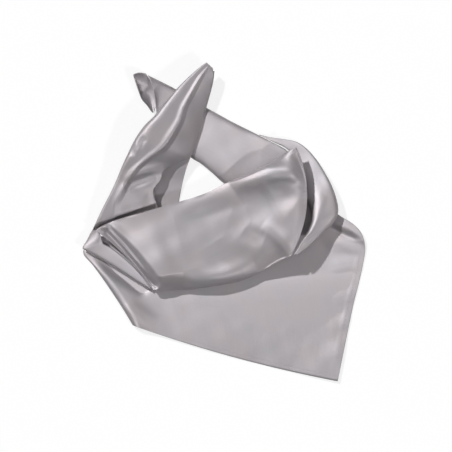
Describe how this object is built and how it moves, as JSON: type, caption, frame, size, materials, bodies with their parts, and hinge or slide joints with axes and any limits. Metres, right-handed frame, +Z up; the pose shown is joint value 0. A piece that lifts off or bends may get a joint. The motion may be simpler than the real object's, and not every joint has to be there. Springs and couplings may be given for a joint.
{
  "type": "neck scarf",
  "caption": "Plain silver-grey satin neckerchief, folded and laid flat in a loop, with its point spread out and its tails crossed.",
  "frame": {"origin": "on the table under the middle of the laid scarf", "axes": "+Z up from the table, +Y from the hanging point towards the crossed tails, +X towards the turn at the right"},
  "size_m": [0.2822, 0.3182, 0.0325],
  "materials": {
    "satin": "silver-grey polyester satin with a faint lilac tone, fine weave lines and a soft broad sheen"
  },
  "bodies": {
    "root": {"point_panel": "satin", "hem_lower": "satin", "hem_side": "satin", "front_cowl": "satin", "lower_lip": "satin", "left_tail": "satin", "tail_leaf": "satin", "back_band": "satin", "back_tip": "satin", "tip_curl": "satin", "right_turn": "satin"}
  },
  "joints": []
}
